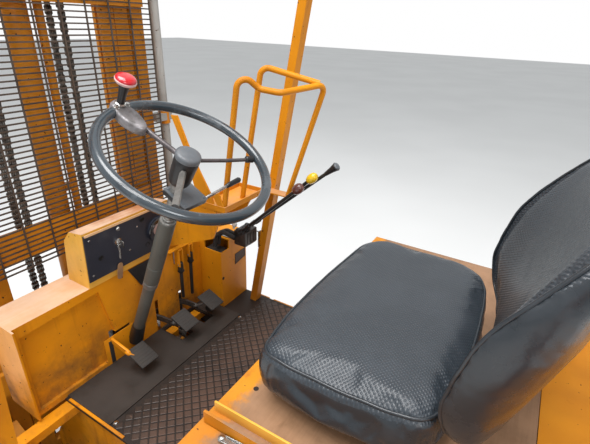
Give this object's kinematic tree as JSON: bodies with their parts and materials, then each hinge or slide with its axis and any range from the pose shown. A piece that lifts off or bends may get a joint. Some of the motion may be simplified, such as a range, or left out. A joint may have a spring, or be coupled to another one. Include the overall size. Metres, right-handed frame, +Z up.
{
  "type": "forklift truck",
  "caption": "Small counterbalanced forklift truck with a two-stage mast, wire mesh screen, overhead guard, lift chains and steering wheel.",
  "frame": {"origin": "on the ground, midway between the fork tips and the counterweight's rear face, on the centreline", "axes": "+X forward to the forks, +Y to the driver's left, +Z up"},
  "size_m": [3.01, 1.087, 2.0899],
  "materials": {
    "body_orange": "worn deep amber orange paint",
    "mast_orange": "aged brown-orange paint",
    "bright_yellow": "light yellow paint",
    "floor_brown": "worn reddish brown chequer plate",
    "mat_black": "dirty rubber",
    "dash_black": "dark blue-black",
    "column_grey": "grey-green paint",
    "grip_black": "glossy worn black plastic",
    "cap_red": "red plastic",
    "steel_dark": "dark greasy steel",
    "steel_bright": "polished steel",
    "chain_steel": "oiled chain steel",
    "vinyl": "blue-grey black ribbed vinyl",
    "tyre": "worn tyre",
    "rim_orange": "worn orange paint",
    "cast_dark": "dirty cast iron",
    "pole_grey": "light grey paint",
    "battery_grey": "dark grey steel case"
  },
  "bodies": {
    "chassis": {"chassis_frame": "body_orange", "counterweight": "body_orange", "tow_pin": "steel_dark", "battery_block": "battery_grey", "floor_plate": "floor_brown", "floor_mat": "mat_black", "front_cowl": "body_orange", "overhead_guard": "body_orange", "dash_box": "bright_yellow", "dash_panel": "dash_black", "side_box": "body_orange", "lever_console": "bright_yellow", "hoop_guard": "column_grey", "valve_block": "steel_dark", "hydraulic_levers": "steel_dark", "pedals": "steel_dark", "steering_column": "column_grey", "direction_switch": "steel_dark", "front_axle": "cast_dark", "rear_axle": "cast_dark"},
    "hood": {"hood": "bright_yellow", "seat_base": "steel_dark", "seat_cushion": "vinyl", "seat_back": "vinyl"},
    "steering_wheel": {"steering_wheel": "grip_black", "spinner_knob": "cap_red"},
    "knuckle_left": {"knuckle_left": "cast_dark"},
    "knuckle_right": {"knuckle_right": "cast_dark"},
    "mast_outer": {"mast_outer": "mast_orange", "mesh_guard": "mast_orange", "lift_cylinder": "mast_orange", "anchor_chains": "chain_steel", "side_pole": "pole_grey"},
    "mast_inner": {"mast_inner": "mast_orange", "lift_rod": "steel_bright", "sheaves": "steel_dark"},
    "carriage": {"carriage": "mast_orange", "forks": "steel_dark", "lift_chains": "chain_steel"},
    "front_wheel_left": {"front_tyre_left": "tyre", "front_rim_left": "rim_orange"},
    "rear_wheel_left": {"rear_tyre_left": "tyre", "rear_rim_left": "rim_orange"},
    "tilt_barrel_left": {"tilt_barrel_left": "mast_orange"},
    "tilt_rod_left": {"tilt_rod_left": "steel_bright"},
    "front_wheel_right": {"front_tyre_right": "tyre", "front_rim_right": "rim_orange"},
    "rear_wheel_right": {"rear_tyre_right": "tyre", "rear_rim_right": "rim_orange"},
    "tilt_barrel_right": {"tilt_barrel_right": "mast_orange"},
    "tilt_rod_right": {"tilt_rod_right": "steel_bright"}
  },
  "joints": [
    {"name": "hood_hinge", "type": "hinge", "parent": "chassis", "child": "hood", "pos_m": [-1.043, 0, 1.003], "axis": [0, -1, 0], "range_deg": [0, 60]},
    {"name": "steering_wheel_turn", "type": "hinge", "parent": "chassis", "child": "steering_wheel", "pos_m": [-0.256, 0.03, 1.357], "axis": [-0.4772, 0, 0.8788], "range_deg": [-700, 700]},
    {"name": "steer_left", "type": "hinge", "parent": "chassis", "child": "knuckle_left", "pos_m": [-1.11, 0.345, 0.225], "axis": [0, 0, 1], "range_deg": [-70, 70]},
    {"name": "steer_right", "type": "hinge", "parent": "chassis", "child": "knuckle_right", "pos_m": [-1.11, -0.345, 0.225], "axis": [0, 0, 1], "range_deg": [-70, 70]},
    {"name": "front_wheel_left_spin", "type": "hinge", "parent": "chassis", "child": "front_wheel_left", "pos_m": [0.18, 0.467, 0.27], "axis": [0, 1, 0], "continuous": true},
    {"name": "rear_wheel_left_spin", "type": "hinge", "parent": "knuckle_left", "child": "rear_wheel_left", "pos_m": [-1.11, 0.44, 0.225], "axis": [0, 1, 0], "continuous": true},
    {"name": "front_wheel_right_spin", "type": "hinge", "parent": "chassis", "child": "front_wheel_right", "pos_m": [0.18, -0.467, 0.27], "axis": [0, 1, 0], "continuous": true},
    {"name": "rear_wheel_right_spin", "type": "hinge", "parent": "knuckle_right", "child": "rear_wheel_right", "pos_m": [-1.11, -0.44, 0.225], "axis": [0, 1, 0], "continuous": true},
    {"name": "mast_tilt", "type": "hinge", "parent": "chassis", "child": "mast_outer", "pos_m": [0.18, 0, 0.27], "axis": [0, 1, 0], "range_deg": [-6, 3]},
    {"name": "mast_lift", "type": "slide", "parent": "mast_outer", "child": "mast_inner", "axis": [0, 0, 1], "range_m": [0, 1.35], "deforming": ["anchor_chains"]},
    {"name": "carriage_lift", "type": "slide", "parent": "mast_inner", "child": "carriage", "axis": [0, 0, 1], "range_m": [0, 1.35], "deforming": ["lift_chains"]},
    {"name": "tilt_barrel_left_pivot", "type": "hinge", "parent": "chassis", "child": "tilt_barrel_left", "pos_m": [-0.26, 0.19, 0.47], "axis": [0, 1, 0], "range_deg": [-3, 3]},
    {"name": "tilt_rod_left_slide", "type": "slide", "parent": "tilt_barrel_left", "child": "tilt_rod_left", "axis": [0.986, 0, 0.1668], "range_m": [-0.04, 0.03]},
    {"name": "tilt_barrel_right_pivot", "type": "hinge", "parent": "chassis", "child": "tilt_barrel_right", "pos_m": [-0.26, -0.19, 0.47], "axis": [0, 1, 0], "range_deg": [-3, 3]},
    {"name": "tilt_rod_right_slide", "type": "slide", "parent": "tilt_barrel_right", "child": "tilt_rod_right", "axis": [0.986, 0, 0.1668], "range_m": [-0.04, 0.03]}
  ],
  "couplings": [
    {"joint": "steer_right", "follows": "steer_left", "ratio": 1},
    {"joint": "steering_wheel_turn", "follows": "steer_left", "ratio": -10},
    {"joint": "carriage_lift", "follows": "mast_lift", "ratio": 1},
    {"joint": "tilt_barrel_left_pivot", "follows": "mast_tilt", "ratio": 0.25},
    {"joint": "tilt_rod_left_slide", "follows": "mast_tilt", "m_per_rad": 0.273},
    {"joint": "tilt_barrel_right_pivot", "follows": "mast_tilt", "ratio": 0.25},
    {"joint": "tilt_rod_right_slide", "follows": "mast_tilt", "m_per_rad": 0.273}
  ]
}
